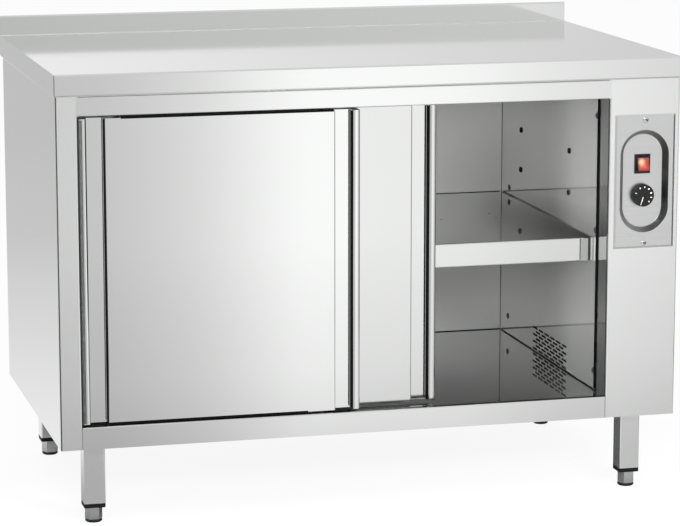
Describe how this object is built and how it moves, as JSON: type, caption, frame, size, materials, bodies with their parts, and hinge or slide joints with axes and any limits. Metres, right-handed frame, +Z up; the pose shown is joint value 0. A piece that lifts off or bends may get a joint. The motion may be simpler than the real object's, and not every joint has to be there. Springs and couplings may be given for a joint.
{
  "type": "hot cupboard",
  "caption": "Stainless hot cupboard on square legs with a worktop and rear upstand, top-hung sliding doors with finger grips, a lift-out shelf and a recessed heat control.",
  "frame": {"origin": "on the floor, below the middle of the worktop", "axes": "+X to the right along the front, +Y towards the back, +Z up; the doors face -Y"},
  "size_m": [1.2, 0.7, 0.89],
  "materials": {
    "polished_stainless": "smooth bright stainless sheet",
    "plain_stainless": "mill-finish stainless sheet",
    "track_aluminium": "extruded aluminium",
    "zinc_steel": "bright plated steel",
    "black_nylon": "moulded black nylon",
    "black_plastic": "moulded black plastic",
    "white_nylon": "moulded natural nylon",
    "cream_plastic": "moulded cream plastic",
    "red_rocker": "lit translucent red plastic",
    "mineral_wool": "mineral wool slab",
    "motor_paint": "grey painted steel",
    "element_steel": "heat-tinted sheathed element",
    "black_rubber": "moulded black rubber"
  },
  "bodies": {
    "cabinet": {"worktop": "polished_stainless", "worktop_stiffeners": "plain_stainless", "left_side_panel": "polished_stainless", "right_side_panel": "polished_stainless", "back_panel": "plain_stainless", "base_panel": "plain_stainless", "floor_panel": "polished_stainless", "ceiling_panel": "plain_stainless", "left_inner_wall": "polished_stainless", "right_inner_wall": "polished_stainless", "left_stile": "polished_stainless", "control_column": "polished_stainless", "top_rail": "polished_stainless", "bottom_rail": "polished_stainless", "door_track": "track_aluminium", "door_guide": "black_nylon", "shelf_pins": "zinc_steel", "wall_screws": "zinc_steel", "control_plate": "polished_stainless", "plate_screws": "zinc_steel", "switch_body": "black_plastic", "thermostat_body": "cream_plastic", "blower_housing": "plain_stainless", "blower_motor": "motor_paint", "heating_element": "element_steel", "terminal_block": "cream_plastic", "cable_gland": "black_nylon", "leg_plugs": "black_nylon", "leg_front_left": "polished_stainless", "leg_front_right": "polished_stainless", "leg_rear_left": "polished_stainless", "leg_rear_right": "polished_stainless"},
    "front_door": {"front_door_skin": "polished_stainless", "front_door_back": "plain_stainless", "front_door_core": "mineral_wool", "front_door_rails": "plain_stainless", "front_door_hangers": "zinc_steel"},
    "front_roller_left": {"front_door_roller_left": "white_nylon"},
    "front_roller_right": {"front_door_roller_right": "white_nylon"},
    "rear_door": {"rear_door_skin": "polished_stainless", "rear_door_back": "plain_stainless", "rear_door_core": "mineral_wool", "rear_door_rails": "plain_stainless", "rear_door_hangers": "zinc_steel"},
    "rear_roller_left": {"rear_door_roller_left": "white_nylon"},
    "rear_roller_right": {"rear_door_roller_right": "white_nylon"},
    "shelf": {"shelf": "polished_stainless", "shelf_stiffener": "plain_stainless"},
    "rocker": {"switch_rocker": "red_rocker"},
    "knob": {"thermostat_knob": "black_plastic", "thermostat_shaft": "zinc_steel"},
    "rotor": {"blower_rotor": "track_aluminium"},
    "foot_front_left": {"foot_front_left": "zinc_steel", "foot_pad_front_left": "black_rubber"},
    "foot_front_right": {"foot_front_right": "zinc_steel", "foot_pad_front_right": "black_rubber"},
    "foot_rear_left": {"foot_rear_left": "zinc_steel", "foot_pad_rear_left": "black_rubber"},
    "foot_rear_right": {"foot_rear_right": "zinc_steel", "foot_pad_rear_right": "black_rubber"}
  },
  "joints": [
    {"name": "front_door_slide", "type": "slide", "parent": "cabinet", "child": "front_door", "axis": [1, 0, 0], "range_m": [0, 0.485]},
    {"name": "rear_door_slide", "type": "slide", "parent": "cabinet", "child": "rear_door", "axis": [1, 0, 0], "range_m": [-0.157, 0.328]},
    {"name": "front_roller_left_turn", "type": "hinge", "parent": "front_door", "child": "front_roller_left", "pos_m": [-0.466, -0.329, 0.7908], "axis": [0, 1, 0], "range_deg": [0, 2320]},
    {"name": "front_roller_right_turn", "type": "hinge", "parent": "front_door", "child": "front_roller_right", "pos_m": [-0.119, -0.329, 0.7908], "axis": [0, 1, 0], "range_deg": [0, 2320]},
    {"name": "rear_roller_left_turn", "type": "hinge", "parent": "rear_door", "child": "rear_roller_left", "pos_m": [-0.309, -0.296, 0.7908], "axis": [0, 1, 0], "range_deg": [-755, 1570]},
    {"name": "rear_roller_right_turn", "type": "hinge", "parent": "rear_door", "child": "rear_roller_right", "pos_m": [0.038, -0.296, 0.7908], "axis": [0, 1, 0], "range_deg": [-755, 1570]},
    {"name": "shelf_lift", "type": "slide", "parent": "cabinet", "child": "shelf", "axis": [0, 0, 1], "range_m": [0, 0.17]},
    {"name": "rocker_press", "type": "hinge", "parent": "cabinet", "child": "rocker", "pos_m": [0.529, -0.3325, 0.645], "axis": [1, 0, 0], "range_deg": [0, 22]},
    {"name": "thermostat_turn", "type": "hinge", "parent": "cabinet", "child": "knob", "pos_m": [0.529, -0.34, 0.585], "axis": [0, 1, 0], "range_deg": [0, 270]},
    {"name": "blower_spin", "type": "hinge", "parent": "cabinet", "child": "rotor", "pos_m": [0.5087, -0.01, 0.22915], "axis": [0, 1, 0], "continuous": true},
    {"name": "foot_front_left_level", "type": "slide", "parent": "cabinet", "child": "foot_front_left", "axis": [0, 0, -1], "range_m": [0, 0.025]},
    {"name": "foot_front_right_level", "type": "slide", "parent": "cabinet", "child": "foot_front_right", "axis": [0, 0, -1], "range_m": [0, 0.025]},
    {"name": "foot_rear_left_level", "type": "slide", "parent": "cabinet", "child": "foot_rear_left", "axis": [0, 0, -1], "range_m": [0, 0.025]},
    {"name": "foot_rear_right_level", "type": "slide", "parent": "cabinet", "child": "foot_rear_right", "axis": [0, 0, -1], "range_m": [0, 0.025]}
  ],
  "couplings": [
    {"joint": "front_roller_left_turn", "follows": "front_door_slide", "rad_per_m": 83.333},
    {"joint": "front_roller_right_turn", "follows": "front_door_slide", "rad_per_m": 83.333},
    {"joint": "rear_roller_left_turn", "follows": "rear_door_slide", "rad_per_m": 83.333},
    {"joint": "rear_roller_right_turn", "follows": "rear_door_slide", "rad_per_m": 83.333}
  ]
}
